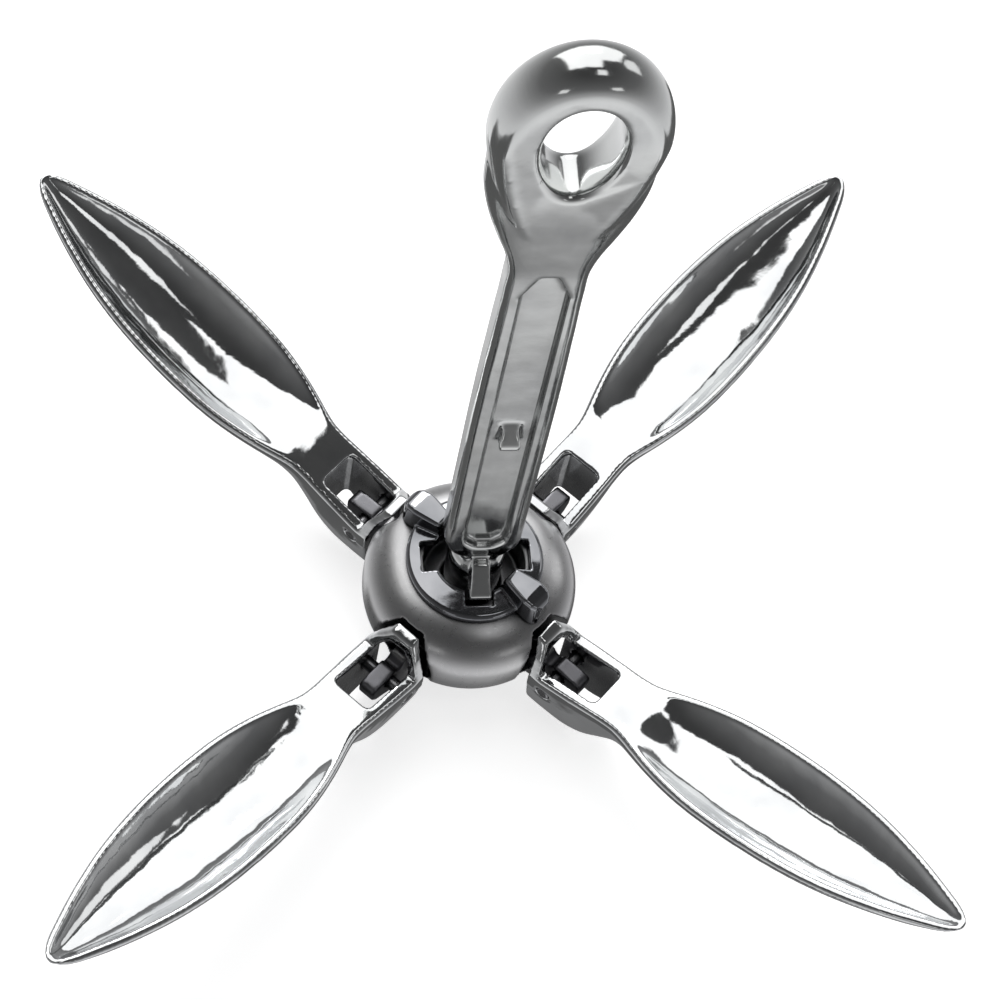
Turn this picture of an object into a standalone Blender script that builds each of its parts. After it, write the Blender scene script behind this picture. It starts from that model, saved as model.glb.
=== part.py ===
"""Folding grapnel anchor in polished stainless steel, standing open on its crown.

Metres, +Z up. The origin is the middle of the crown's flat base. The shank's
broad faces look along -Y and +Y, and the flukes stand on the four diagonals.
"""

import math

import bmesh
import bpy
from mathutils import Matrix, Vector

MM = 0.001

# Driving sizes, in millimetres. Heights marked "above the middle" count from
# the crown's widest level, which is CROWN_MIDDLE above the base.
CROWN_MIDDLE = 23.5
CROWN_RADIUS = 32.2
CROWN_RISE = 15.8
CROWN_DROP = 24.5
CROWN_TOP_POWER = 2.8
CROWN_LOW_POWER = 2.3
CROWN_HOLLOW_RADIUS = 15.5
CROWN_HOLLOW_FLOOR = 4.0

TIP_RADIUS = 178.0
FLUKE_SLOPE = math.tan(math.radians(12.9))
FLUKE_ROOT_RADIUS = 32.4
FLUKE_ROOT_TOP = -0.4
WINDOW_HALF_WIDTH = 6.5
WINDOW_END_RADIUS = 54.0
FLUKE_DIRECTIONS = {"front_right": 315, "back_right": 45, "back_left": 135, "front_left": 225}

HINGE_RADIUS = 38.5
HINGE_HEIGHT = -6.0
KNUCKLE_ROOM = 8.6
# Distance across, reach from the hinge axis, and angle of the floor, for each pocket.
POCKET_STATIONS = ((11.1, 9.0, 218), (8.0, 14.8, 213), (4.0, 20.3, 207))
POCKET_OPEN_ANGLE = 70
PIN_RADIUS = 2.1
PIN_HALF_LENGTH = 10.3
PIN_HOLE_RADIUS = 2.4

NECK_RADIUS = 8.5
TENON_FIT = 0.3
PEEN_RADIUS = 7.8
PEEN_HEIGHT = 2.5
SPIGOT_RADIUS = 5.5
SPIGOT_TOP = 8.0

SHANK_HALF_WIDTH = 11.3
SHANK_HALF_DEPTH = 5.6
SHANK_FOOT = 24.8
CHANNEL_HALF_WIDTH = 6.2
CHANNEL_FLOOR = 2.9
CHANNEL_FOOT = 34.0
CHANNEL_TOP = 178.0
EYE_MIDDLE = 232.5
EYE_HOLE_HALF_WIDTH = 9.4
EYE_HOLE_HALF_HEIGHT = 17.4

COLLAR_BORE = 12.2
COLLAR_RADIUS = 20.6
COLLAR_SLOT_REACH = 16.3
COLLAR_ARM_REACH = 26.4
COLLAR_ARM_TOP = 24.0
TAB_REACH = 15.6
TAB_FOOT = 19.4

STEEL = (0.62, 0.63, 0.64, 1.0)


def clear_scene():
    for old in list(bpy.data.objects):
        bpy.data.objects.remove(old, do_unlink=True)


def polished_steel(name, roughness):
    material = bpy.data.materials.new(name)
    material.use_nodes = True
    shader = material.node_tree.nodes["Principled BSDF"]
    shader.inputs["Base Color"].default_value = STEEL
    shader.inputs["Metallic"].default_value = 1.0
    shader.inputs["Roughness"].default_value = roughness
    return material


def new_piece(name, points, faces):
    mesh = bpy.data.meshes.new(name)
    mesh.from_pydata([Vector(point) * MM for point in points], [], faces)
    piece = bpy.data.objects.new(name, mesh)
    bpy.context.scene.collection.objects.link(piece)
    work = bmesh.new()
    work.from_mesh(mesh)
    bmesh.ops.recalc_face_normals(work, faces=work.faces)
    if work.calc_volume(signed=True) < 0:
        bmesh.ops.reverse_faces(work, faces=work.faces)
    work.to_mesh(mesh)
    work.free()
    return piece


def loft(name, rings):
    """One closed skin through rings of equally many points, flat at both ends."""
    count = len(rings[0])
    points = [point for ring in rings for point in ring]
    faces = []
    for level in range(len(rings) - 1):
        for i in range(count):
            j = (i + 1) % count
            low, high = level * count, (level + 1) * count
            faces.append((low + i, low + j, high + j, high + i))
    faces.append(tuple(range(count))[::-1])
    faces.append(tuple((len(rings) - 1) * count + i for i in range(count)))
    return new_piece(name, points, faces)


def ring_at(height, radius, sides):
    turns = [2 * math.pi * i / sides for i in range(sides)]
    return [(radius * math.cos(a), radius * math.sin(a), height) for a in turns]


def turned(name, profile, sides):
    """A solid turned about Z from (radius, height) pairs, bottom to top."""
    return loft(name, [ring_at(height, radius, sides) for radius, height in profile])


def prism(name, outline, low, high):
    """A flat (x, z) outline carried along Y from low to high."""
    return loft(name, [[(x, y, z) for x, z in outline] for y in (low, high)])


def combine(piece, other, operation):
    """Boolean of two pieces; the second one is used up."""
    step = piece.modifiers.new("step", "BOOLEAN")
    step.operation = operation
    step.solver = "EXACT"
    step.object = other
    bpy.context.view_layer.update()
    graph = bpy.context.evaluated_depsgraph_get()
    mesh = bpy.data.meshes.new_from_object(piece.evaluated_get(graph))
    piece.modifiers.remove(step)
    piece.data = mesh
    bpy.data.objects.remove(other, do_unlink=True)


def turn(piece, degrees, shift=(0, 0, 0)):
    """Turns a piece's mesh about Z after shifting it."""
    move = Matrix.Rotation(math.radians(degrees), 4, "Z") @ Matrix.Translation(Vector(shift) * MM)
    piece.data.transform(move)
    return piece


def finish(piece, name, material, sharp_degrees=32):
    """Names a piece, gives it its steel and smooths its round faces."""
    piece.name = name
    piece.data.name = name
    piece.data.materials.clear()
    piece.data.materials.append(material)
    piece.data.shade_smooth()
    piece.data.set_sharp_from_angle(angle=math.radians(sharp_degrees))
    return piece


def bun_radius(height):
    """Radius of the crown's rounded body at a height above its middle."""
    rise, power = (CROWN_RISE, CROWN_TOP_POWER) if height > 0 else (CROWN_DROP, CROWN_LOW_POWER)
    share = min(abs(height) / rise, 1.0)
    return CROWN_RADIUS * (1 - share**power) ** (1 / power)


def crown_body():
    levels = [-CROWN_MIDDLE, -21.5, -19, -16, -12.5, -9, -5, -1.5, 1.5, 4.5, 7.2, 9.6, 11.6, 13.2, 14.4]
    profile = [(bun_radius(level), level + CROWN_MIDDLE) for level in levels]
    profile.append((CROWN_HOLLOW_RADIUS, CROWN_MIDDLE + 15.2))
    return turned("crown", profile, 56)


def crown_bores():
    """Hollow under the collar, bore for the shank's tenon, and the countersink below."""
    top = CROWN_MIDDLE + CROWN_RISE + 2
    floor = CROWN_MIDDLE + CROWN_HOLLOW_FLOOR
    profile = [
        (PEEN_RADIUS + TENON_FIT, -1),
        (PEEN_RADIUS + TENON_FIT, 0),
        (SPIGOT_RADIUS + TENON_FIT, PEEN_HEIGHT),
        (SPIGOT_RADIUS + TENON_FIT, SPIGOT_TOP),
        (NECK_RADIUS + TENON_FIT, SPIGOT_TOP + 0.01),
        (NECK_RADIUS + TENON_FIT, floor),
        (CROWN_HOLLOW_RADIUS - 0.4, floor + 0.01),
        (CROWN_HOLLOW_RADIUS - 0.4, top),
    ]
    return turned("bores", profile, 32)


def sector(radius, start, end, steps):
    """Pie-slice outline about the hinge axis, angles from straight out towards up."""
    outline = [(0.0, 0.0)]
    for i in range(steps + 1):
        a = math.radians(start + (end - start) * i / steps)
        outline.append((radius * math.cos(a), radius * math.sin(a)))
    return outline


def root_pocket():
    """Room in the crown that a fluke's root arch turns through as the fluke folds."""
    rings = []
    for side, stations in ((-1, POCKET_STATIONS), (1, POCKET_STATIONS[::-1])):
        for across, radius, floor_angle in stations:
            outline = sector(radius, POCKET_OPEN_ANGLE, floor_angle, 12)
            rings.append([(x, side * across, z) for x, z in outline])
    pocket = loft("pocket", rings)
    for low, high in ((-11.2, -5.4), (5.4, 11.2)):
        cheek = turned("cheek", [(KNUCKLE_ROOM, low), (KNUCKLE_ROOM, high)], 32)
        cheek.data.transform(Matrix.Rotation(math.radians(90), 4, "X"))
        combine(pocket, cheek, "UNION")
    return pocket


def lug():
    """Tongue on the crown that carries a hinge pin, with a square stop block on top."""
    outline = [
        (-17.5, -7.6), (-12.2, -5.1), (-11.2, -0.6), (-9.8, 2.6), (-8.2, 4.0), (-6.2, 4.0), (-5.2, 2.6),
        (-4.6, 2.0), (-3.0, 2.0), (-2.6, 3.4), (-1.8, 4.2), (6.6, 3.6), (8.0, 2.4),
        (8.0, -1.0), (6.0, -4.0), (-2.5, -9.0), (-10.0, -12.0), (-17.0, -13.5),
    ]
    return prism("lug", outline, -2.8, 2.8)


def pin_hole(reach):
    hole = turned("hole", [(PIN_HOLE_RADIUS, -reach), (PIN_HOLE_RADIUS, reach)], 20)
    hole.data.transform(Matrix.Rotation(math.radians(90), 4, "X"))
    return hole


def build_crown(material):
    crown = crown_body()
    combine(crown, crown_bores(), "DIFFERENCE")
    hinge = (HINGE_RADIUS, 0, HINGE_HEIGHT + CROWN_MIDDLE)
    for direction in FLUKE_DIRECTIONS.values():
        combine(crown, turn(root_pocket(), direction, hinge), "DIFFERENCE")
    for direction in FLUKE_DIRECTIONS.values():
        combine(crown, turn(lug(), direction, hinge), "UNION")
        combine(crown, turn(pin_hole(6), direction, hinge), "DIFFERENCE")
    return finish(crown, "crown", material)


def bar_ring(height, half_width, half_depth, power, sides=32):
    """Rounded-rectangle outline; a high power gives squarer corners."""
    ring = []
    for i in range(sides):
        a = 2 * math.pi * (i + 0.5) / sides
        c, s = math.cos(a), math.sin(a)
        x = half_width * math.copysign(abs(c) ** (2 / power), c)
        y = half_depth * math.copysign(abs(s) ** (2 / power), s)
        ring.append((x, y, height + CROWN_MIDDLE))
    return ring


def shank_bar():
    """The flat bar with its rounded foot, swelling into the pear-shaped eye."""
    rings = []
    for drop in (0.99, 0.92, 0.78, 0.58, 0.32, 0):
        reach = SHANK_HALF_WIDTH * math.sqrt(1 - drop**2)
        depth = SHANK_HALF_DEPTH - 0.6 * drop**3
        rings.append(bar_ring(SHANK_FOOT + SHANK_HALF_WIDTH * (1 - drop), reach, depth, 5))
    for height, width, depth, power in (
        (120, 11.2, 5.6, 5), (168, 10.4, 5.5, 5), (180, 10.5, 5.7, 4.8), (187, 11.6, 6.0, 4.6),
        (195, 13.6, 6.5, 4.3), (204, 16.3, 7.1, 4.1), (213, 18.8, 7.6, 4), (222, 20.8, 7.9, 4),
        (231, 21.9, 8.1, 4), (239, 22.0, 8.1, 4), (246, 20.9, 8.0, 4), (251, 18.9, 7.8, 3.8),
        (255, 16.2, 7.4, 3.6), (258.2, 12.8, 6.7, 3.3), (260.3, 9.2, 5.4, 2.8), (261.5, 5.0, 3.4, 2.3),
    ):
        rings.append(bar_ring(height, width, depth, power))
    return loft("bar", rings)


def shank_channel(side):
    """Long recess in a broad face, open over the foot, with a pointed top under the eye."""
    w = CHANNEL_HALF_WIDTH
    top = CHANNEL_TOP + CROWN_MIDDLE
    foot = CHANNEL_FOOT + CROWN_MIDDLE
    outline = [(-2.4, foot), (2.4, foot), (w - 0.8, foot + 3), (w, foot + 8), (w, top - 9), (2.2, top),
               (-2.2, top), (-w, top - 9), (-w, foot + 8), (0.8 - w, foot + 3)]
    low, high = (-20, -CHANNEL_FLOOR) if side < 0 else (CHANNEL_FLOOR, 20)
    return prism("channel", outline, low, high)


def eye_hole():
    """Egg-shaped hole for the rode's shackle, its lips opening out on both faces."""
    rings = []
    lips = ((9.5, 2.9), (8.1, 1.5), (6.8, 0.6), (5.0, 0.0))
    for y, flare in [(-y, flare) for y, flare in lips] + list(lips[::-1]):
        ring = []
        for i in range(28):
            a = 2 * math.pi * i / 28
            x = (EYE_HOLE_HALF_WIDTH + flare) * math.cos(a)
            z = (EYE_HOLE_HALF_HEIGHT + flare) * math.sin(a)
            ring.append((x * (1 + 0.006 * z), y, EYE_MIDDLE + CROWN_MIDDLE + z))
        rings.append(ring)
    return loft("eye_hole", rings)


def neck():
    """Round neck and tenon, stepped down to the spigot that is peened under the crown."""
    profile = [
        (PEEN_RADIUS, 0), (SPIGOT_RADIUS, PEEN_HEIGHT - 0.2), (SPIGOT_RADIUS, SPIGOT_TOP + 0.3),
        (NECK_RADIUS, SPIGOT_TOP + 0.31), (NECK_RADIUS, CROWN_MIDDLE + 22), (8.0, CROWN_MIDDLE + 24),
        (6.6, CROWN_MIDDLE + 26), (4.6, CROWN_MIDDLE + 27.6), (2.0, CROWN_MIDDLE + 28.4),
    ]
    return turned("neck", profile, 32)


def tab(side, foot, root, reach, height, half_width):
    """Wedge-shaped locking tab on a broad face: flat below, sloping above."""
    top = foot + height
    outline = [(root, foot), (reach, foot), (reach, foot + 0.28 * height), (root + 1.5, top), (root, top)]
    rings = []
    for share in (-1, 1):
        ring = []
        for y, z in outline:
            narrowing = 1 - 0.28 * (z - foot) / height
            ring.append((share * half_width * narrowing, side * y, z + CROWN_MIDDLE))
        rings.append(ring)
    return loft("tab", rings)


def build_shank(material):
    shank = shank_bar()
    for side in (-1, 1):
        combine(shank, shank_channel(side), "DIFFERENCE")
    combine(shank, eye_hole(), "DIFFERENCE")
    combine(shank, neck(), "UNION")
    for side in (-1, 1):
        combine(shank, tab(side, TAB_FOOT, 6.5, TAB_REACH, 8.4, 3.5), "UNION")
        combine(shank, tab(side, 94.5, 2.0, 7.6, 7.2, 3.1), "UNION")
    return finish(shank, "shank", material)


def collar_ring():
    """Shallow bell that sits over the crown's hollow."""
    profile = [
        (17.4, 15.2), (COLLAR_RADIUS - 0.5, 14.5), (COLLAR_RADIUS, 14.9), (COLLAR_RADIUS, 16.8),
        (COLLAR_RADIUS - 0.9, 17.6), (COLLAR_BORE + 1.0, 19.0), (COLLAR_BORE, 18.7), (COLLAR_BORE, 15.9),
    ]
    rings = []
    for i in range(48):
        a = 2 * math.pi * i / 48
        rings.append([(r * math.cos(a), r * math.sin(a), z + CROWN_MIDDLE) for r, z in profile])
    count = len(profile)
    points = [point for ring in rings for point in ring]
    faces = []
    for k in range(48):
        for i in range(count):
            j, n = (i + 1) % count, (k + 1) % 48
            faces.append((k * count + i, k * count + j, n * count + j, n * count + i))
    return new_piece("ring", points, faces)


def collar_arm():
    """Finger on the collar: a raised rib with a rounded end that hangs over the crown."""
    rings = []
    for reach, half_width, foot, top in (
        (12.4, 2.6, 16.4, 22.4), (13.2, 3.0, 16.2, COLLAR_ARM_TOP), (18.0, 3.9, 15.4, COLLAR_ARM_TOP),
        (20.4, 4.3, 14.6, COLLAR_ARM_TOP), (21.6, 4.4, 14.2, COLLAR_ARM_TOP), (24.2, 4.1, 13.3, 23.4),
        (25.6, 3.2, 12.6, 22.6), (COLLAR_ARM_REACH, 1.9, 12.3, 21.4),
    ):
        edge = 0.8
        section = [
            (-half_width, foot), (half_width, foot), (half_width, top - edge),
            (half_width - edge, top), (-half_width + edge, top), (-half_width, top - edge),
        ]
        rings.append([(reach, y, z + CROWN_MIDDLE) for y, z in section])
    return loft("arm", rings)


def collar_slot(half_width):
    low, high = 10 + CROWN_MIDDLE, 30 + CROWN_MIDDLE
    reach = COLLAR_SLOT_REACH
    outline = [(-reach, low), (reach, low), (reach, high), (-reach, high)]
    return prism("slot", outline, -half_width, half_width)


def build_collar(material):
    collar = collar_ring()
    for direction in (135, 315):
        combine(collar, turn(collar_arm(), direction), "UNION")
    combine(collar, collar_slot(4.9), "DIFFERENCE")
    combine(collar, turn(collar_slot(4.1), 90), "DIFFERENCE")
    return finish(collar, "locking_collar", material)


def fluke_ring(radius, half_width, bowl, floor, squareness):
    """Section across a fluke: rolled rim, hollowed top and rounded or boxy underside."""
    top = FLUKE_ROOT_TOP + (radius - FLUKE_ROOT_RADIUS) * FLUKE_SLOPE
    rim = min(2.0, 0.45 * half_width)
    side = top - min(3.0, 0.6 * (top - floor))
    edge = min(1.0, 0.25 * (top - floor))
    ring = [(-half_width, top - edge), (-half_width + 0.35 * rim, top), (-half_width + rim, top)]
    for u in (-0.86, -0.62, -0.32, 0, 0.32, 0.62, 0.86):
        ring.append(((half_width - rim) * u, top - bowl * (1 - abs(u) ** 2.3)))
    ring += [(half_width - rim, top), (half_width - 0.35 * rim, top), (half_width, top - edge)]
    for u in (1, 0.93, 0.78, 0.52, 0.25, 0, -0.25, -0.52, -0.78, -0.93, -1):
        share = 1 - abs(u) ** squareness
        narrowing = 1 - 0.012 * (squareness - 2.2) * share
        ring.append((half_width * u * narrowing, side - (side - floor) * share))
    x = radius - HINGE_RADIUS
    return [(x, y, z - HINGE_HEIGHT) for y, z in ring]


def fluke_body():
    """Arm with its deep web, running out into the leaf-shaped palm.

    Each station: radius, half width, bowl depth, height of the underside, squareness.
    """
    rings = []
    for station in (
        (FLUKE_ROOT_RADIUS, 10.7, 0, -21.0, 9), (40, 10.7, 0, -21.3, 9), (48, 10.5, 0, -20.6, 9),
        (54, 10.3, 0, -17.6, 8), (59, 10.1, 0, -12.6, 7), (64, 10.4, 0.1, -7.0, 6),
        (68, 11.4, 0.6, -4.0, 5), (72, 12.7, 1.9, -2.2, 4.4), (77, 14.2, 3.7, -0.6, 3.8),
        (83, 15.7, 5.4, 1.2, 3.3), (90, 17.0, 6.8, 3.0, 2.9), (98, 17.8, 7.8, 4.6, 2.6),
        (107, 18.1, 8.3, 6.1, 2.4), (116, 18.0, 8.3, 8.2, 2.3), (125, 17.5, 7.9, 10.7, 2.2),
        (134, 16.5, 7.2, 13.4, 2.2), (143, 14.9, 6.2, 16.4, 2.2), (151, 12.9, 5.1, 19.3, 2.2),
        (158, 10.6, 4.0, 22.0, 2.2), (164, 8.3, 2.9, 24.6, 2.2), (169, 6.1, 1.9, 27.0, 2.2),
        (173, 4.2, 1.1, 29.1, 2.2), (176, 2.7, 0.5, 30.6, 2.2), (TIP_RADIUS, 1.4, 0.1, 31.6, 2.2),
    ):
        rings.append(fluke_ring(*station))
    return loft("fluke", rings)


def root_window():
    """Opening through the arm that the crown's lug stands in."""
    start, end = -14, WINDOW_END_RADIUS - HINGE_RADIUS
    w, cut = WINDOW_HALF_WIDTH, 1.2
    plan = [(start, -w), (end - cut, -w), (end, -w + cut), (end, w - cut), (end - cut, w), (start, w)]
    return loft("window", [[(x, y, z) for x, y in plan] for z in (-20, 20)])


def root_arch():
    """Polygonal arch that closes the window over the crown's edge."""
    outer_back = [(10.6, -6.4, 32.5), (10.6, -0.4, 32.5), (7.8, 5.6, 31.4), (3.8, 10.8, 28.3)]
    outer_front = [(10.6, -6.4, 36.0), (10.6, -0.4, 36.0), (7.8, 5.4, 34.6), (3.8, 9.8, 32.2)]
    inner_front = [(6.6, -6.4, 36.0), (6.6, -0.4, 36.0), (5.0, 3.2, 34.9), (2.4, 6.4, 33.9)]
    inner_back = [(6.6, -6.4, 32.5), (6.6, -0.4, 32.5), (5.0, 3.4, 32.0), (2.4, 7.2, 30.7)]
    corners = list(zip(outer_back, outer_front, inner_front, inner_back))
    rings = []
    for side, stations in ((-1, corners), (1, corners[::-1])):
        for station in stations:
            rings.append([(r - HINGE_RADIUS, side * y, z - HINGE_HEIGHT) for y, z, r in station])
    return loft("arch", rings)


def build_fluke_shape(material):
    fluke = fluke_body()
    combine(fluke, root_window(), "DIFFERENCE")
    combine(fluke, root_arch(), "UNION")
    combine(fluke, pin_hole(20), "DIFFERENCE")
    return finish(fluke, "fluke", material)


def build_pin_shape(material):
    ease = 0.4
    profile = [
        (PIN_RADIUS - ease, -PIN_HALF_LENGTH), (PIN_RADIUS, -PIN_HALF_LENGTH + ease),
        (PIN_RADIUS, PIN_HALF_LENGTH - ease), (PIN_RADIUS - ease, PIN_HALF_LENGTH),
    ]
    pin = turned("pin", profile, 20)
    pin.data.transform(Matrix.Rotation(math.radians(90), 4, "X"))
    return finish(pin, "pin", material)


def place_at_hinge(name, mesh, direction):
    a = math.radians(direction)
    hinge = (HINGE_RADIUS * math.cos(a), HINGE_RADIUS * math.sin(a), HINGE_HEIGHT + CROWN_MIDDLE)
    piece = bpy.data.objects.new(name, mesh)
    piece.location = Vector(hinge) * MM
    piece.rotation_euler = (0, 0, a)
    bpy.context.scene.collection.objects.link(piece)


def main():
    clear_scene()
    build_crown(polished_steel("crown_steel", 0.12))
    build_shank(polished_steel("shank_steel", 0.1))
    build_collar(polished_steel("collar_steel", 0.1))
    fluke = build_fluke_shape(polished_steel("fluke_steel", 0.08))
    pin = build_pin_shape(polished_steel("pin_steel", 0.2))
    for place, direction in FLUKE_DIRECTIONS.items():
        place_at_hinge(f"fluke_{place}", fluke.data, direction)
        place_at_hinge(f"hinge_pin_{place}", pin.data, direction)
    bpy.data.objects.remove(fluke, do_unlink=True)
    bpy.data.objects.remove(pin, do_unlink=True)


main()
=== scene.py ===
import math

import bmesh
import bpy
import numpy as np
from mathutils import Matrix, Vector


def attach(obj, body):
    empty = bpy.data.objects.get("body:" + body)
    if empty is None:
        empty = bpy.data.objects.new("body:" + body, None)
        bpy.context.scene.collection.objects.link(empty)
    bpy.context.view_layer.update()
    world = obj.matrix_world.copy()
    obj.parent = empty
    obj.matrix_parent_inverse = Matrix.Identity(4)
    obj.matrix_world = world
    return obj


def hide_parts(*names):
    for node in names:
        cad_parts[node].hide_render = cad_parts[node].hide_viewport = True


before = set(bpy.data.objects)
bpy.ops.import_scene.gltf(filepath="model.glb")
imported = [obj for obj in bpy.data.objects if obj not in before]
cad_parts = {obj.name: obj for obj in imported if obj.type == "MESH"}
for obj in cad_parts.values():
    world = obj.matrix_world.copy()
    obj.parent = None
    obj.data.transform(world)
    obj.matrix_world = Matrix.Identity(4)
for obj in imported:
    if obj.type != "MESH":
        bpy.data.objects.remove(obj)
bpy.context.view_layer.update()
mm = 0.001
print("frame loaded:", len(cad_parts), "nodes")

# Places that several pieces share, in millimetres.
anchor = {
    "crownMiddle": 23.5,      # height of the crown's widest level above the base
    "hingeRadius": 38.5,
    "hingeHeight": -6.0,      # above the crown's middle
    "pinHole": 2.4,           # radius
    "flukeDirections": {"front_right": 315, "back_right": 45, "back_left": 135, "front_left": 225},
}


def newPiece(name, points, faces):
    mesh = bpy.data.meshes.new(name)
    mesh.from_pydata([tuple(c * mm for c in p) for p in points], [], faces)
    piece = bpy.data.objects.new(name, mesh)
    bpy.context.scene.collection.objects.link(piece)
    work = bmesh.new()
    work.from_mesh(mesh)
    bmesh.ops.recalc_face_normals(work, faces=work.faces)
    if work.calc_volume(signed=True) < 0:
        bmesh.ops.reverse_faces(work, faces=work.faces)
    work.to_mesh(mesh)
    work.free()
    return piece


def skinRings(name, rings, closedLoop=False):
    # one skin through rings of equally many points, capped unless the rings run full circle
    count = len(rings[0])
    points = [p for ring in rings for p in ring]
    faces = []
    last = len(rings) if closedLoop else len(rings) - 1
    for level in range(last):
        low = level * count
        high = (level + 1) % len(rings) * count
        for i in range(count):
            j = (i + 1) % count
            faces.append((low + i, low + j, high + j, high + i))
    if not closedLoop:
        faces.append(tuple(range(count))[::-1])
        faces.append(tuple((len(rings) - 1) * count + i for i in range(count)))
    return newPiece(name, points, faces)


def turnedPiece(name, profile, sides):
    rings = []
    for radius, height in profile:
        turns = [2 * math.pi * i / sides for i in range(sides)]
        rings.append([(radius * math.cos(a), radius * math.sin(a), height) for a in turns])
    return skinRings(name, rings)


def prismPiece(name, outline, low, high):
    return skinRings(name, [[(x, y, z) for x, z in outline] for y in (low, high)])


def easedStations(stations, step):
    # smooth curve through listed stations, sampled every step; the first value is the place
    table = np.array(stations, float)
    place = table[:, 0]
    slope = np.gradient(table, place, axis=0)
    samples = np.arange(place[0], place[-1], step)
    samples = np.append(samples, place[-1])
    rows = []
    for s in samples:
        k = min(int(np.searchsorted(place, s, side="right")) - 1, len(place) - 2)
        gap = place[k + 1] - place[k]
        t = (s - place[k]) / gap
        h0 = 2 * t**3 - 3 * t**2 + 1
        h1 = t**3 - 2 * t**2 + t
        h2 = 3 * t**2 - 2 * t**3
        h3 = t**3 - t**2
        rows.append(h0 * table[k] + h1 * gap * slope[k] + h2 * table[k + 1] + h3 * gap * slope[k + 1])
    return rows


def combine(piece, other, operation):
    step = piece.modifiers.new("step", "BOOLEAN")
    step.operation = operation
    step.solver = "EXACT"
    step.object = other
    bakeModifiers(piece)
    bpy.data.objects.remove(other, do_unlink=True)


def bakeModifiers(piece):
    bpy.context.view_layer.update()
    graph = bpy.context.evaluated_depsgraph_get()
    mesh = bpy.data.meshes.new_from_object(piece.evaluated_get(graph))
    piece.modifiers.clear()
    piece.data = mesh


def spun(piece, degrees, shift=(0, 0, 0)):
    move = Matrix.Translation(Vector(shift) * mm)
    piece.data.transform(Matrix.Rotation(math.radians(degrees), 4, "Z") @ move)
    return piece


def laidAlongY(piece):
    piece.data.transform(Matrix.Rotation(math.radians(90), 4, "X"))
    return piece


def pinHole(halfLength):
    radius = anchor["pinHole"]
    return laidAlongY(turnedPiece("hole", [(radius, -halfLength), (radius, halfLength)], 40))


def softened(piece, grain, passes):
    # a cast and tumbled skin: every edge gets the small round that polishing leaves
    skin = piece.modifiers.new("skin", "REMESH")
    skin.mode = "VOXEL"
    skin.voxel_size = grain * mm
    skin.adaptivity = 0
    ease = piece.modifiers.new("ease", "SMOOTH")
    ease.factor = 0.5
    ease.iterations = passes
    bakeModifiers(piece)
    piece.data.shade_smooth()
    return piece


def addNode(tree, kind, place, **settings):
    node = tree.nodes.new(kind)
    node.location = place
    for key, value in settings.items():
        if key in node.inputs.keys():
            node.inputs[key].default_value = value
        else:
            setattr(node, key, value)
    return node


def noise(tree, where, scale, detail, roughness, place):
    grain = addNode(tree, "ShaderNodeTexNoise", place, Scale=scale, Detail=detail, Roughness=roughness)
    tree.links.new(where, grain.inputs["Vector"])
    return grain.outputs["Fac"]


def bandOf(tree, source, low, high, toLow, toHigh, place):
    band = addNode(tree, "ShaderNodeMapRange", place)
    band.inputs["From Min"].default_value = low
    band.inputs["From Max"].default_value = high
    band.inputs["To Min"].default_value = toLow
    band.inputs["To Max"].default_value = toHigh
    tree.links.new(source, band.inputs["Value"])
    return band.outputs["Result"]


def blended(tree, share, first, second, place):
    # first where share is nothing, second where it is one; each is a socket or a fixed colour
    mix = addNode(tree, "ShaderNodeMix", place, data_type="RGBA")
    tree.links.new(share, mix.inputs[0])
    wells = [socket for socket in mix.inputs if socket.type == "RGBA"]
    for well, colour in zip(wells, (first, second)):
        if isinstance(colour, tuple):
            well.default_value = colour
        else:
            tree.links.new(colour, well)
    return [socket for socket in mix.outputs if socket.type == "RGBA"][0]


def summed(tree, first, second, place):
    total = addNode(tree, "ShaderNodeMath", place, operation="ADD")
    tree.links.new(first, total.inputs[0])
    tree.links.new(second, total.inputs[1])
    return total.outputs["Value"]


def paintedShadeOutside(tree, where, colour, radius, shade):
    # painted shade farther than radius from the upright axis, on the lugs that sit in the fluke windows: a
    # darker base colour
    level = addNode(tree, "ShaderNodeVectorMath", (-1200, 1200), operation="MULTIPLY")
    level.inputs[1].default_value = (1, 1, 0)
    reach = addNode(tree, "ShaderNodeVectorMath", (-1000, 1200), operation="LENGTH")
    tree.links.new(where, level.inputs[0])
    tree.links.new(level.outputs["Vector"], reach.inputs[0])
    outside = bandOf(tree, reach.outputs["Value"], radius, radius + 0.5 * mm, 0, 1, (-800, 1200))
    return blended(tree, outside, colour, shade, (-100, 900))


# Set for every finish alike: detail and roughness of each noise, and the bands of a value that act.
polish = {
    "swell": (2.0, 0.4), "pebble": (4.0, 0.55), "marks": (6.0, 0.7),
    "glossBand": (0.3, 0.75), "cornerBand": (0.44, 0.5), "nookBand": (0.35, 0.8), "toneBand": (0.3, 0.7),
    "nookRays": 6,
}


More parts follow.
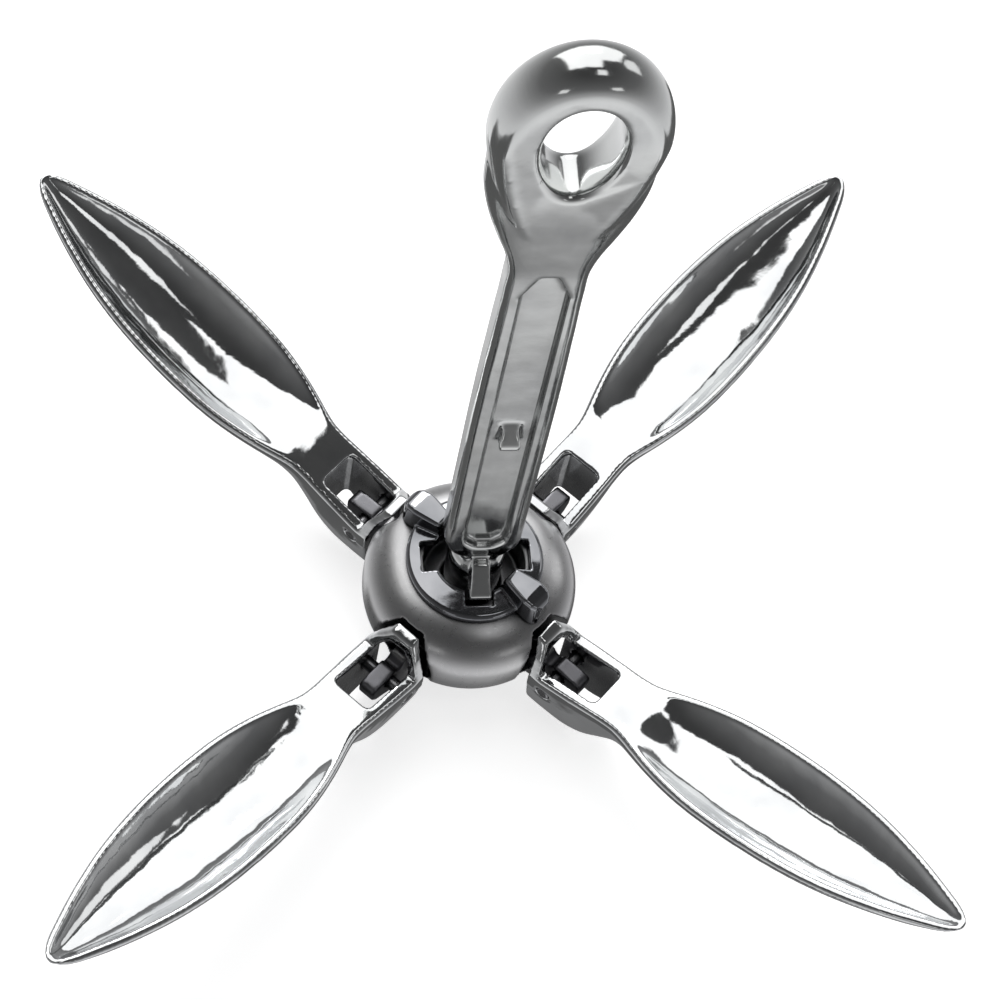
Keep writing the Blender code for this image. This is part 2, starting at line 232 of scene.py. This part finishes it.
def polishedSteel(name, finish):
    material = bpy.data.materials.new(name)
    material.use_nodes = True
    tree = material.node_tree
    shader = tree.nodes["Principled BSDF"]
    shader.inputs["Metallic"].default_value = 1.0
    where = addNode(tree, "ShaderNodeTexCoord", (-1500, 0)).outputs["Object"]

    # wheel marks are noise drawn out along the length of the piece
    stretch = addNode(tree, "ShaderNodeMapping", (-1400, -300))
    stretch.inputs["Scale"].default_value = finish["markStretch"]
    tree.links.new(where, stretch.inputs["Vector"])
    alongPiece = stretch.outputs["Vector"]
    # swells are slow and left by hand polishing; pebbles are the cast skin under the polish
    swell = noise(tree, where, finish["swellScale"], *polish["swell"], (-1200, 300))
    pebble = noise(tree, where, finish["pebbleScale"], *polish["pebble"], (-1200, 0))
    marks = noise(tree, alongPiece, finish["markScale"], *polish["marks"], (-1200, -300))

    relief = None
    for height, depth, place in (
        (swell, finish["swellDepth"], (-700, 300)),
        (pebble, finish["pebbleDepth"], (-500, 200)),
        (marks, finish["markDepth"], (-300, 100)),
    ):
        bump = addNode(tree, "ShaderNodeBump", place, Strength=1.0, Distance=depth * mm)
        tree.links.new(height, bump.inputs["Height"])
        if relief is not None:
            tree.links.new(relief, bump.inputs["Normal"])
        relief = bump.outputs["Normal"]
    tree.links.new(relief, shader.inputs["Normal"])

    # gloss wanders along the wheel marks and dulls in corners that the wheel can't reach
    gloss = bandOf(tree, marks, *polish["glossBand"], *finish["roughness"], (-900, -500))
    corner = addNode(tree, "ShaderNodeNewGeometry", (-1200, -700)).outputs["Pointiness"]
    dull = bandOf(tree, corner, *polish["cornerBand"], finish["cornerDull"], 0, (-900, -700))
    total = summed(tree, gloss, dull, (-600, -600))

    # painted shade deep in windows, slots and corners, from an ambient occlusion mask; the same mask also
    # makes the steel there rougher, as it is unpolished
    nook = addNode(tree, "ShaderNodeAmbientOcclusion", (-1200, 900), samples=polish["nookRays"])
    nook.inputs["Distance"].default_value = finish["nookReach"] * mm
    clear = bandOf(tree, nook.outputs["AO"], *polish["nookBand"], 0, 1, (-900, 900))
    rough = bandOf(tree, clear, 0, 1, finish["nookRoughness"], 0, (-700, 900))
    tree.links.new(summed(tree, total, rough, (-400, -600)), shader.inputs["Roughness"])

    tone = addNode(tree, "ShaderNodeValToRGB", (-700, 600))
    for stop, position, colour in zip(tone.color_ramp.elements, polish["toneBand"], ("shade", "tint")):
        stop.position = position
        stop.color = finish[colour]
    tree.links.new(swell, tone.inputs["Fac"])
    # base colour falls to the painted nook shade where the occlusion mask finds a recess
    mixed = blended(tree, clear, finish["paintedNookShade"], tone.outputs["Color"], (-300, 700))
    # painted shade: the crown's lugs, which sit in the fluke windows, get a darker base colour
    if "paintedShadeBeyond" in finish:
        mixed = paintedShadeOutside(tree, where, mixed, finish["paintedShadeBeyond"] * mm, finish["paintedLugShade"])
    tree.links.new(mixed, shader.inputs["Base Color"])
    return material


def dress(piece, material, slotName, body, *nodes):
    piece.data.materials.clear()
    piece.data.materials.append(material)
    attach(piece, body)
    if nodes:
        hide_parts(*nodes)
    return piece


flukeShape = {
    "rootRadius": 32.4, "rootTop": -0.4, "slope": math.tan(math.radians(12.9)),
    "rimWidth": 2.2, "bowlSquareness": 3.0, "sideDrop": 3.0, "edgeDrop": 0.8,
    # the most that rim, side and edge may take of a thin section, and where the rim's crest starts
    "rimShare": 0.45, "sideShare": 0.6, "edgeShare": 0.25, "crestShare": 0.35,
    "bowlSpan": 0.985, "webNarrowing": 0.012, "roundSquareness": 2.2,
    "windowHalfWidth": 6.5, "windowStart": 24.5, "windowEnd": 54.0, "windowCorner": 1.2,
    # how finely the skin is laid: steps across the top and underside, millimetres along
    "acrossSteps": 61, "alongStep": 0.7,
    # corners of the root arch: (across, height, radius)
    "archOuterBack": ((10.6, -6.4, 32.5), (10.6, -0.4, 32.5), (7.8, 5.6, 31.4), (3.8, 10.8, 28.3)),
    "archOuterFront": ((10.6, -6.4, 36.0), (10.6, -0.4, 36.0), (7.8, 5.4, 34.6), (3.8, 9.8, 32.2)),
    "archInnerFront": ((6.6, -6.4, 36.0), (6.6, -0.4, 36.0), (5.0, 3.2, 34.9), (2.4, 6.4, 33.9)),
    "archInnerBack": ((6.6, -6.4, 32.5), (6.6, -0.4, 32.5), (5.0, 3.4, 32.0), (2.4, 7.2, 30.7)),
    # radius, half width, bowl depth, height of the underside, squareness of the underside
    "stations": (
        (32.4, 10.7, 0, -21.0, 9), (40, 10.7, 0, -21.3, 9), (48, 10.5, 0, -20.6, 9),
        (54, 10.3, 0, -17.6, 8), (59, 10.1, 0, -12.6, 7), (64, 10.4, 0.1, -7.0, 6),
        (68, 11.4, 0.6, -4.0, 5), (72, 12.7, 1.9, -2.2, 4.4),
        (77, 14.2, 3.7, -0.6, 3.8), (83, 15.7, 5.4, 1.2, 3.3), (90, 17.0, 6.8, 3.0, 2.9),
        (98, 17.8, 7.8, 4.6, 2.6), (107, 18.1, 8.3, 6.1, 2.4), (116, 18.0, 8.3, 8.2, 2.3),
        (125, 17.5, 7.9, 10.7, 2.2), (134, 16.5, 7.2, 13.4, 2.2), (143, 14.9, 6.2, 16.4, 2.2),
        (151, 12.9, 5.1, 19.3, 2.2), (158, 10.8, 4.3, 22.0, 2.2), (164, 8.7, 3.5, 24.5, 2.2),
        (169, 6.8, 2.8, 26.7, 2.2), (172.5, 5.4, 2.0, 28.3, 2.2), (175, 4.0, 0.9, 29.6, 2.2),
        (176.8, 2.4, 0.1, 30.7, 2.2), (177.9, 0.9, 0.0, 31.4, 2.2),
    ),
    # grid of the polished skin and how often it is eased
    "grain": 0.42, "easing": 18,
    "steel": {
        "swellScale": 70, "swellDepth": 0.5, "pebbleScale": 260, "pebbleDepth": 0.03,
        "markScale": 900, "markStretch": (1, 1, 0.3), "markDepth": 0.003,
        "roughness": (0.03, 0.1), "cornerDull": 0.12,
        "shade": (0.62, 0.63, 0.64, 1), "tint": (0.76, 0.77, 0.77, 1),
        "nookReach": 14, "nookRoughness": 0.2, "paintedNookShade": (0.07, 0.07, 0.075, 1),
    },
}


def flukeSection(radius, halfWidth, bowl, floor, squareness):
    shape = flukeShape
    bowl = max(bowl, 0.0)
    top = shape["rootTop"] + (radius - shape["rootRadius"]) * shape["slope"]
    rim = min(shape["rimWidth"], shape["rimShare"] * halfWidth)
    side = top - min(shape["sideDrop"], shape["sideShare"] * (top - floor))
    edge = min(shape["edgeDrop"], shape["edgeShare"] * (top - floor))
    crest = shape["crestShare"] * rim
    span = shape["bowlSpan"]
    ring = [(-halfWidth, top - edge), (-halfWidth + crest, top), (-halfWidth + rim, top)]
    for u in np.linspace(-span, span, shape["acrossSteps"]):
        ring.append(((halfWidth - rim) * u, top - bowl * (1 - abs(u) ** shape["bowlSquareness"])))
    ring += [(halfWidth - rim, top), (halfWidth - crest, top), (halfWidth, top - edge)]
    for angle in np.linspace(0, math.pi, shape["acrossSteps"]):
        u = math.cos(angle)
        share = 1 - abs(u) ** squareness
        narrowing = 1 - shape["webNarrowing"] * (squareness - shape["roundSquareness"]) * share
        ring.append((halfWidth * u * narrowing, side - (side - floor) * share))
    x = radius - anchor["hingeRadius"]
    return [(x, y, z - anchor["hingeHeight"]) for y, z in ring]


def rootArch():
    # eight-sided arch over the crown's edge
    sides = ("archOuterBack", "archOuterFront", "archInnerFront", "archInnerBack")
    corners = list(zip(*(flukeShape[side] for side in sides)))
    rings = []
    for side, stations in ((-1, corners), (1, corners[::-1])):
        for station in stations:
            rings.append([
                (r - anchor["hingeRadius"], side * y, z - anchor["hingeHeight"]) for y, z, r in station
            ])
    return skinRings("arch", rings)


def makeFluke():
    shape = flukeShape
    rings = [flukeSection(*row) for row in easedStations(shape["stations"], shape["alongStep"])]
    fluke = skinRings("fluke", rings)
    w = shape["windowHalfWidth"]
    end = shape["windowEnd"] - anchor["hingeRadius"]
    start = shape["windowStart"] - anchor["hingeRadius"]
    cut = shape["windowCorner"]
    plan = [(start, -w), (end - cut, -w), (end, -w + cut), (end, w - cut), (end - cut, w), (start, w)]
    combine(fluke, skinRings("window", [[(x, y, z) for x, y in plan] for z in (-20, 20)]), "DIFFERENCE")
    combine(fluke, rootArch(), "UNION")
    combine(fluke, pinHole(20), "DIFFERENCE")
    return softened(fluke, shape["grain"], shape["easing"])


def placeFlukes():
    master = makeFluke()
    steel = polishedSteel("flukeSteel", flukeShape["steel"])
    for place, direction in anchor["flukeDirections"].items():
        fluke = bpy.data.objects.new("polished_fluke_" + place, master.data.copy())
        bpy.context.scene.collection.objects.link(fluke)
        hinge = (anchor["hingeRadius"], 0, anchor["hingeHeight"] + anchor["crownMiddle"])
        spun(fluke, direction, hinge)
        dress(fluke, steel, "fluke_steel", "fluke_" + place, "fluke_" + place)
    bpy.data.objects.remove(master, do_unlink=True)


placeFlukes()
print("flukes cast and polished")


crownShape = {
    "radius": 32.2, "rise": 15.8, "drop": 24.5, "topPower": 2.8, "lowPower": 2.3,
    "hollowRadius": 15.1, "hollowFloor": 4.0, "boreRadius": 8.8,
    "spigotRadius": 5.8, "spigotTop": 8.0, "sinkRadius": 8.1, "sinkDepth": 2.5,
    "lowestAngle": -73.5, "highestAngle": 73.8, "levelSteps": 60, "turnSteps": 120,
    # distance across, reach from the hinge, angle of the floor
    "pocket": ((11.1, 9.0, 218), (8.0, 14.8, 213), (4.0, 20.3, 207)), "knuckleRoom": 8.6,
    "pocketOpenAngle": 70, "pocketSteps": 25, "cheeks": ((-11.2, -5.4), (5.4, 11.2)),
    "lugOutline": (
        (-17.5, -7.6), (-12.2, -5.1), (-11.2, -0.6), (-9.8, 2.6), (-8.2, 4.0), (-6.2, 4.0), (-5.2, 2.6),
        (-4.6, 2.0), (-3.0, 2.0), (-2.6, 3.4), (-1.8, 4.2), (6.6, 3.6), (8.0, 2.4),
        (8.0, -1.0), (6.0, -4.0), (-2.5, -9.0), (-10.0, -12.0), (-17.0, -13.5),
    ),
    "lugHalfWidth": 2.8,
    "grain": 0.53, "easing": 6,
    "steel": {
        "swellScale": 40, "swellDepth": 0.4, "pebbleScale": 300, "pebbleDepth": 0.015,
        "markScale": 800, "markStretch": (1, 1, 0.4), "markDepth": 0.003,
        "roughness": (0.26, 0.34), "cornerDull": 0.0,
        "shade": (0.5, 0.5, 0.51, 1), "tint": (0.62, 0.62, 0.62, 1),
        "nookReach": 12, "nookRoughness": 0.15, "paintedNookShade": (0.05, 0.05, 0.055, 1),
        # radius beyond which the lugs get the painted shade, and the colour of that shade
        "paintedShadeBeyond": 32.4, "paintedLugShade": (0.16, 0.16, 0.17, 1),
    },
}


def bunRadius(height):
    shape = crownShape
    rise, power = (shape["rise"], shape["topPower"]) if height > 0 else (shape["drop"], shape["lowPower"])
    share = min(abs(height) / rise, 1.0)
    return shape["radius"] * (1 - share**power) ** (1 / power)


def crownPocket():
    rings = []
    stations = crownShape["pocket"]
    for side, row in ((-1, stations), (1, stations[::-1])):
        for across, reach, floorAngle in row:
            ring = [(0.0, side * across, 0.0)]
            angles = np.linspace(crownShape["pocketOpenAngle"], floorAngle, crownShape["pocketSteps"])
            for a in np.radians(angles):
                ring.append((reach * math.cos(a), side * across, reach * math.sin(a)))
            rings.append(ring)
    pocket = skinRings("pocket", rings)
    room = crownShape["knuckleRoom"]
    for low, high in crownShape["cheeks"]:
        combine(pocket, laidAlongY(turnedPiece("cheek", [(room, low), (room, high)], 48)), "UNION")
    return pocket


def makeCrown():
    shape = crownShape
    middle = anchor["crownMiddle"]
    angles = np.radians(np.linspace(shape["lowestAngle"], shape["highestAngle"], shape["levelSteps"]))
    levels = [(shape["drop"] if a < 0 else shape["rise"]) * math.sin(a) for a in angles]
    profile = [(bunRadius(level), level + middle) for level in levels]
    profile[0] = (bunRadius(-middle), 0)
    crown = turnedPiece("crown", profile, shape["turnSteps"])
    floor = middle + shape["hollowFloor"]
    bores = [
        (shape["sinkRadius"], -1), (shape["sinkRadius"], 0),
        (shape["spigotRadius"], shape["sinkDepth"]), (shape["spigotRadius"], shape["spigotTop"]),
        (shape["boreRadius"], shape["spigotTop"] + 0.01), (shape["boreRadius"], floor),
        (shape["hollowRadius"], floor + 0.01), (shape["hollowRadius"], middle + 20),
    ]
    combine(crown, turnedPiece("bores", bores, 96), "DIFFERENCE")
    hinge = (anchor["hingeRadius"], 0, anchor["hingeHeight"] + middle)
    for direction in anchor["flukeDirections"].values():
        combine(crown, spun(crownPocket(), direction, hinge), "DIFFERENCE")
    for direction in anchor["flukeDirections"].values():
        w = shape["lugHalfWidth"]
        combine(crown, spun(prismPiece("lug", shape["lugOutline"], -w, w), direction, hinge), "UNION")
        combine(crown, spun(pinHole(6), direction, hinge), "DIFFERENCE")
    return softened(crown, shape["grain"], shape["easing"])


crown = makeCrown()
crown.name = "polished_crown"
dress(crown, polishedSteel("crownSteel", crownShape["steel"]), "crown_steel", "anchor", "crown")
print("crown turned and polished")


shankShape = {
    "halfWidth": 11.3, "halfDepth": 5.6, "foot": 24.8,
    "turnSteps": 120, "alongStep": 0.8,
    # rounded foot: highest and lowest angle, rings, and how much thinner it ends
    "footTurn": (82, 3, 16), "footThinning": 0.6,
    # recess on both broad faces; its outline runs up the right half and is mirrored to the left
    "channelFloor": 2.9,
    "channelRight": ((2.4, 34.0), (5.4, 37.0), (6.2, 42.0), (6.2, 169.0), (2.2, 178.0)),
    # height, half width, half depth, squareness
    "stations": (
        (36.1, 11.3, 5.6, 5), (70, 11.3, 5.6, 5), (120, 11.2, 5.6, 5),
        (150, 10.7, 5.55, 5), (168, 10.4, 5.5, 5),
        (180, 10.7, 5.7, 4.8), (186, 12.2, 6.0, 4.2), (194, 15.2, 6.4, 3.6), (203, 18.2, 6.9, 3.1),
        (213, 20.3, 7.2, 2.7), (222, 20.8, 7.2, 2.4), (231, 20.8, 6.9, 2.2), (239, 20.3, 6.5, 2.0),
        (246, 18.8, 5.8, 2.0), (251, 16.4, 4.8, 2.0), (255, 12.4, 3.6, 2.0), (258.4, 6.0, 2.2, 2.0),
    ),
    "eyeMiddle": 232.5, "eyeHalfWidth": 9.4, "eyeHalfHeight": 17.4, "eyeWidening": 0.006, "roundSteps": 72,
    "lips": ((9.5, 2.9), (8.1, 1.5), (6.8, 0.6), (5.0, 0.0)),
    # flat face round the hole and the round shoulder outside it
    "faceHalfWidth": 16.8, "faceAbove": 22.6, "faceBelow": 43.0, "faceDepth": 8.1, "faceSink": 2.2,
    "shoulderAcross": 5.2, "shoulderAbove": 6.4, "shoulderTurn": (-84, 84, 25),
    "faceSteps": 96, "faceTaper": 0.25, "faceSinkPower": 1.5,
    # locking tabs: height of the foot, root, reach, height, half width
    "lowerTab": (19.4, 6.5, 15.6, 8.4, 3.5), "upperTab": (94.5, 2.0, 7.6, 7.2, 3.1),
    "tabTaper": 0.28, "tabBack": 1.5,
    # round neck and the tenon below it: radius, height above the base
    "neck": (
        (7.8, 0), (5.5, 2.3), (5.5, 8.3), (8.5, 8.31), (8.5, 45.5), (8.0, 47.5),
        (6.6, 49.5), (4.6, 51.1), (2.0, 51.9),
    ),
    "grain": 0.52, "easing": 9,
    "steel": {
        "swellScale": 50, "swellDepth": 0.3, "pebbleScale": 350, "pebbleDepth": 0.012,
        "markScale": 700, "markStretch": (1, 1, 0.15), "markDepth": 0.004,
        "roughness": (0.09, 0.17), "cornerDull": 0.15,
        "shade": (0.6, 0.61, 0.61, 1), "tint": (0.72, 0.73, 0.72, 1),
        "nookReach": 5, "nookRoughness": 0.15, "paintedNookShade": (0.06, 0.06, 0.065, 1),
    },
}


def barRing(height, halfWidth, halfDepth, squareness):
    ring = []
    for i in range(shankShape["turnSteps"]):
        a = 2 * math.pi * (i + 0.5) / shankShape["turnSteps"]
        c, s = math.cos(a), math.sin(a)
        x = halfWidth * math.copysign(abs(c) ** (2 / squareness), c)
        y = halfDepth * math.copysign(abs(s) ** (2 / squareness), s)
        ring.append((x, y, height + anchor["crownMiddle"]))
    return ring


def shankTab(side, foot, root, reach, height, halfWidth):
    taper = shankShape["tabTaper"]
    top = foot + height
    back = root + shankShape["tabBack"]
    outline = [(root, foot), (reach, foot), (reach, foot + taper * height), (back, top), (root, top)]
    rings = []
    for share in (-1, 1):
        ring = []
        for y, z in outline:
            narrowing = 1 - taper * (z - foot) / height
            ring.append((share * halfWidth * narrowing, side * y, z + anchor["crownMiddle"]))
        rings.append(ring)
    return skinRings("tab", rings)


def eyeFace():
    # head of the shank: an egg-shaped flat on both sides with a round shoulder between them
    shape = shankShape
    rings = []
    for turn in np.radians(np.linspace(*shape["shoulderTurn"])):
        side, flare = math.sin(turn), math.cos(turn)
        ring = []
        for i in range(shape["faceSteps"]):
            a = 2 * math.pi * i / shape["faceSteps"]
            low = max(0.0, -math.sin(a))
            reach = shape["faceBelow"] if low > 0 else shape["faceAbove"]
            width = shape["faceHalfWidth"] + flare * shape["shoulderAcross"]
            x = width * (1 - shape["faceTaper"] * low) * math.cos(a)
            z = (reach + flare * shape["shoulderAbove"]) * math.sin(a)
            y = side * (shape["faceDepth"] - shape["faceSink"] * low ** shape["faceSinkPower"])
            ring.append((x, y, shape["eyeMiddle"] + anchor["crownMiddle"] + z))
        rings.append(ring)
    return skinRings("face", rings)


def makeShank():
    shape = shankShape
    middle = anchor["crownMiddle"]
    rings = []
    for drop in np.sin(np.radians(np.linspace(*shape["footTurn"]))):
        reach = shape["halfWidth"] * math.sqrt(1 - drop**2)
        depth = shape["halfDepth"] - shape["footThinning"] * drop**3
        rings.append(barRing(shape["foot"] + shape["halfWidth"] * (1 - drop), reach, depth, 5))
    rings += [barRing(*row) for row in easedStations(shape["stations"], shape["alongStep"])]
    shank = skinRings("shank", rings)
    right = [(x, z + middle) for x, z in shape["channelRight"]]
    outline = right + [(-x, z) for x, z in right[::-1]]
    for low, high in ((-20, -shape["channelFloor"]), (shape["channelFloor"], 20)):
        combine(shank, prismPiece("channel", outline, low, high), "DIFFERENCE")
    combine(shank, eyeFace(), "UNION")
    rings = []
    lips = shape["lips"]
    for y, flare in [(-y, flare) for y, flare in lips] + list(lips[::-1]):
        ring = []
        for i in range(shape["roundSteps"]):
            a = 2 * math.pi * i / shape["roundSteps"]
            x = (shape["eyeHalfWidth"] + flare) * math.cos(a)
            z = (shape["eyeHalfHeight"] + flare) * math.sin(a)
            ring.append((x * (1 + shape["eyeWidening"] * z), y, shape["eyeMiddle"] + middle + z))
        rings.append(ring)
    combine(shank, skinRings("eye", rings), "DIFFERENCE")
    combine(shank, turnedPiece("neck", shape["neck"], shape["roundSteps"]), "UNION")
    for side in (-1, 1):
        combine(shank, shankTab(side, *shape["lowerTab"]), "UNION")
        combine(shank, shankTab(side, *shape["upperTab"]), "UNION")
    return softened(shank, shape["grain"], shape["easing"])


shank = makeShank()
shank.name = "polished_shank"
dress(shank, polishedSteel("shankSteel", shankShape["steel"]), "shank_steel", "anchor", "shank")
print("shank forged and polished")


collarShape = {
    # section of the bell: radius, height
    "bell": (
        (17.4, 15.2), (20.1, 14.5), (20.6, 14.9), (20.6, 16.8),
        (19.7, 17.6), (13.2, 19.0), (12.2, 18.7), (12.2, 15.9),
    ),
    # sections of a finger: reach, half width, height of its foot and top
    "armStations": (
        (12.4, 2.6, 16.4, 22.4), (13.2, 3.0, 16.2, 24), (18.0, 3.9, 15.4, 24), (20.4, 4.3, 14.6, 24),
        (21.6, 4.4, 14.2, 24), (24.2, 4.1, 13.3, 23.4), (25.6, 3.2, 12.6, 22.6), (26.4, 1.9, 12.3, 21.4),
    ),
    "armEdge": 0.8, "armDirections": (135, 315),
    # half widths of the slots for the bar and for its tabs
    "barSlot": 4.9, "tabSlot": 4.1, "slotReach": 16.3, "slotFoot": 10, "slotTop": 30, "turnSteps": 120,
    "grain": 0.28, "easing": 7,
    "steel": {
        "swellScale": 90, "swellDepth": 0.25, "pebbleScale": 450, "pebbleDepth": 0.01,
        "markScale": 900, "markStretch": (1, 1, 1), "markDepth": 0.003,
        "roughness": (0.05, 0.12), "cornerDull": 0.15,
        # base colour set far darker than the other steel: painted shade standing in for the dark
        # reflections of the polished collar
        "shade": (0.24, 0.245, 0.26, 1), "tint": (0.36, 0.365, 0.38, 1),
        "nookReach": 10, "nookRoughness": 0.15, "paintedNookShade": (0.04, 0.04, 0.045, 1),
    },
}


def collarSlot(halfWidth):
    reach = collarShape["slotReach"]
    low = collarShape["slotFoot"] + anchor["crownMiddle"]
    high = collarShape["slotTop"] + anchor["crownMiddle"]
    outline = [(-reach, low), (reach, low), (reach, high), (-reach, high)]
    return prismPiece("slot", outline, -halfWidth, halfWidth)


def collarArm():
    edge = collarShape["armEdge"]
    rings = []
    for reach, halfWidth, foot, top in collarShape["armStations"]:
        section = [
            (-halfWidth, foot), (halfWidth, foot), (halfWidth, top - edge),
            (halfWidth - edge, top), (-halfWidth + edge, top), (-halfWidth, top - edge),
        ]
        rings.append([(reach, y, z + anchor["crownMiddle"]) for y, z in section])
    return skinRings("arm", rings)


def makeCollar():
    shape = collarShape
    rings = []
    for i in range(shape["turnSteps"]):
        a = 2 * math.pi * i / shape["turnSteps"]
        rings.append([
            (r * math.cos(a), r * math.sin(a), z + anchor["crownMiddle"]) for r, z in shape["bell"]
        ])
    collar = skinRings("collar", rings, closedLoop=True)
    for direction in shape["armDirections"]:
        combine(collar, spun(collarArm(), direction), "UNION")
    combine(collar, collarSlot(shape["barSlot"]), "DIFFERENCE")
    combine(collar, spun(collarSlot(shape["tabSlot"]), 90), "DIFFERENCE")
    return softened(collar, shape["grain"], shape["easing"])


collar = makeCollar()
collar.name = "polished_collar"
collarSteelPaintedDark = polishedSteel("collarSteelPaintedDark", collarShape["steel"])
dress(collar, collarSteelPaintedDark, "collar_steel", "collar", "locking_collar")
print("collar cut and polished")


hingePins = {
    "steel": {
        "swellScale": 120, "swellDepth": 0.05, "pebbleScale": 500, "pebbleDepth": 0.01,
        "markScale": 1200, "markStretch": (0.2, 0.2, 1), "markDepth": 0.006,
        "roughness": (0.22, 0.34), "cornerDull": 0.1,
        # darker base colour: painted shade on the pins
        "shade": (0.3, 0.3, 0.31, 1), "tint": (0.42, 0.42, 0.43, 1),
        "nookReach": 10, "nookRoughness": 0.1, "paintedNookShade": (0.05, 0.05, 0.055, 1),
    },
}


def dressPins():
    # drawn bar, left rougher than the castings; its base colour is darkened as painted shade, so the pins
    # stay dark in the gaps between lug and fluke
    steel = polishedSteel("pinSteelPaintedDark", hingePins["steel"])
    for place in anchor["flukeDirections"]:
        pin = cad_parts["hinge_pin_" + place]
        pin.data.materials.clear()
        pin.data.materials.append(steel)


dressPins()
print("hinge pins dressed")


studio = {
    "floorTone": 0.94,
    "floorGlow": 0.72,
    "coolness": 1.01,
    # height of the view direction, grey
    "room": (
        (-1.0, 0.2), (-0.9, 0.28), (-0.86, 0.46), (-0.8, 0.95), (-0.55, 0.8),
        (-0.1, 0.42), (0.1, 0.28), (0.35, 0.15), (0.7, 0.1), (1.0, 0.05),
    ),
    "edge": 0.03,
    # bright panels by direction: across, away, up, brightness
    "panels": (
        ((-0.5, 0.25), (0.1, 0.97), (0.3, 0.995), 1.5),
        ((0.22, 0.6), (0.42, 0.97), (0.3, 0.9), 1.5),
        ((0.14, 0.36), (-0.3, -0.1), (0.85, 1.1), 1.2),
        ((0.7, 0.92), (0.25, 0.55), (0.3, 0.6), 1.1),
        ((-0.56, -0.4), (-0.95, -0.7), (0.3, 0.42), 1.0),
        ((0.42, 0.6), (-0.95, -0.6), (0.3, 0.42), 1.0),
        ((-0.75, -0.28), (-0.6, 0.35), (-1.1, -0.6), 0.12),
        ((0.28, 0.75), (-0.25, 0.6), (-1.1, -0.6), 0.12),
    ),
    # name, place, aim, width, height, watts
    "boxes": (
        ("backBox", (0.0, 1.5, 1.3), (0, 0, 0.05), 0.8, 0.5, 6),
    ),
}


def makeFloor():
    outline = [(-4, -4, 0), (4, -4, 0), (4, 4, 0), (-4, 4, 0)]
    mesh = bpy.data.meshes.new("floor")
    mesh.from_pydata([(x, y, z - 0.0004) for x, y, z in outline], [], [(0, 1, 2, 3)])
    floor = bpy.data.objects.new("floor", mesh)
    bpy.context.scene.collection.objects.link(floor)
    paper = bpy.data.materials.new("palePaper")
    paper.use_nodes = True
    shader = paper.node_tree.nodes["Principled BSDF"]
    tone = studio["floorTone"]
    shader.inputs["Base Color"].default_value = (tone, tone, tone, 1)
    shader.inputs["Roughness"].default_value = 0.9
    shader.inputs["Emission Color"].default_value = (1, 1, 1, 1)
    shader.inputs["Emission Strength"].default_value = studio["floorGlow"]
    mesh.materials.append(paper)
    floor.visible_glossy = False


def panelMask(tree, axes, spans, place):
    # one inside the panel and nothing outside, with a short soft edge
    mask = None
    for axis, (low, high) in zip(axes, spans):
        for start, end in ((low - studio["edge"], low), (high + studio["edge"], high)):
            edge = bandOf(tree, axis, start, end, 0, 1, place)
            if mask is None:
                mask = edge
                continue
            both = addNode(tree, "ShaderNodeMath", place, operation="MULTIPLY")
            tree.links.new(mask, both.inputs[0])
            tree.links.new(edge, both.inputs[1])
            mask = both.outputs["Value"]
    return mask


def makeRoom():
    # studio round the anchor: grey walls that darken upwards, and large bright panels
    world = bpy.data.worlds.new("studioRoom")
    bpy.context.scene.world = world
    world.use_nodes = True
    tree = world.node_tree
    back = tree.nodes["Background"]
    where = addNode(tree, "ShaderNodeTexCoord", (-1500, 0)).outputs["Generated"]
    split = addNode(tree, "ShaderNodeSeparateXYZ", (-1300, 0))
    tree.links.new(where, split.inputs["Vector"])
    axes = [split.outputs[axis] for axis in "XYZ"]
    height = bandOf(tree, axes[2], -1, 1, 0, 1, (-1000, 400))
    walls = addNode(tree, "ShaderNodeValToRGB", (-800, 400))
    for level, tone in studio["room"][1:-1]:
        walls.color_ramp.elements.new((level + 1) / 2)
    for stop, (level, tone) in zip(walls.color_ramp.elements, studio["room"]):
        stop.position = (level + 1) / 2
        stop.color = (tone, tone, tone * studio["coolness"], 1)
    tree.links.new(height, walls.inputs["Fac"])
    light = walls.outputs["Color"]
    for number, (*spans, brightness) in enumerate(studio["panels"]):
        place = (-900, -200 * number)
        mask = panelMask(tree, axes, spans, place)
        glow = (brightness, brightness, brightness, 1)
        light = blended(tree, mask, light, glow, (-500, place[1]))
    tree.links.new(light, back.inputs["Color"])
    back.inputs["Strength"].default_value = 1.0


def makeBoxes():
    for name, place, aim, width, height, watts in studio["boxes"]:
        light = bpy.data.lights.new(name, "AREA")
        light.shape = "RECTANGLE"
        light.size = width
        light.size_y = height
        light.energy = watts
        lamp = bpy.data.objects.new(name, light)
        bpy.context.scene.collection.objects.link(lamp)
        lamp.location = place
        lamp.rotation_euler = (Vector(aim) - Vector(place)).to_track_quat("-Z", "Y").to_euler()


# The camera looks down past the eye of the shank, a little from the left.
cameraSet = {
    "azimuth": -17.12, "elevation": 60.71, "roll": 14.19, "distance": 0.87434,
    "target": (0.01043, 0.02377, 0.03199), "lens": 103.7,
}


def makeCamera():
    s = cameraSet
    a, e, r = (math.radians(s[key]) for key in ("azimuth", "elevation", "roll"))
    back = Vector((math.sin(a) * math.cos(e), -math.cos(a) * math.cos(e), math.sin(e)))
    level = Vector((0, 0, 1)).cross(back).normalized()
    rise = back.cross(level)
    across = math.cos(r) * level + math.sin(r) * rise
    upward = -math.sin(r) * level + math.cos(r) * rise
    camera = bpy.data.objects.new("camera", bpy.data.cameras.new("camera"))
    bpy.context.scene.collection.objects.link(camera)
    turn = Matrix((across, upward, back)).transposed().to_4x4()
    turn.translation = Vector(s["target"]) + back * s["distance"]
    camera.matrix_world = turn
    camera.data.lens = s["lens"]
    camera.data.sensor_width = 36
    camera.data.clip_start = 0.01
    bpy.context.scene.camera = camera


makeFloor()
makeRoom()
makeBoxes()
makeCamera()
bpy.context.scene.view_settings.view_transform = "Standard"
print("studio lit")
